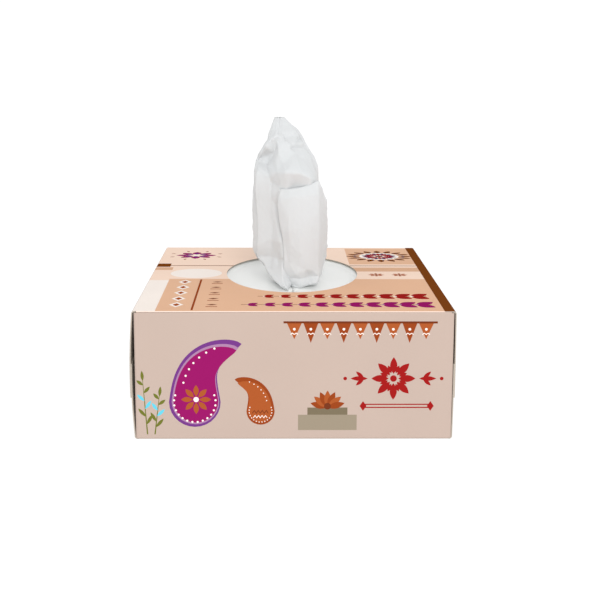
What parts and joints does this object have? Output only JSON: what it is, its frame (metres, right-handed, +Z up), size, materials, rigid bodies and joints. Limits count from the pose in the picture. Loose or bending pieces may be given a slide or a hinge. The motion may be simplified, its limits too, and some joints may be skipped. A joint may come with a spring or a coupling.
{
  "type": "tissue box",
  "caption": "Rectangular glued folding carton with an oval top opening, a slit film under it, and one soft tissue standing up through the slit.",
  "frame": {"origin": "centre of the carton's bottom, on the surface it stands on", "axes": "+Z up, -Y towards the front panel, +X to the right as seen from the front; Y runs along the oval opening"},
  "size_m": [0.1213, 0.15, 0.117],
  "materials": {
    "carton": "satin",
    "slit_film": "satin",
    "tissue_stack": "matte",
    "pulled_tissue": "matte"
  },
  "bodies": {
    "root": {"carton": "carton", "slit_film": "slit_film", "tissue_stack": "tissue_stack", "pulled_tissue": "pulled_tissue"}
  },
  "joints": []
}
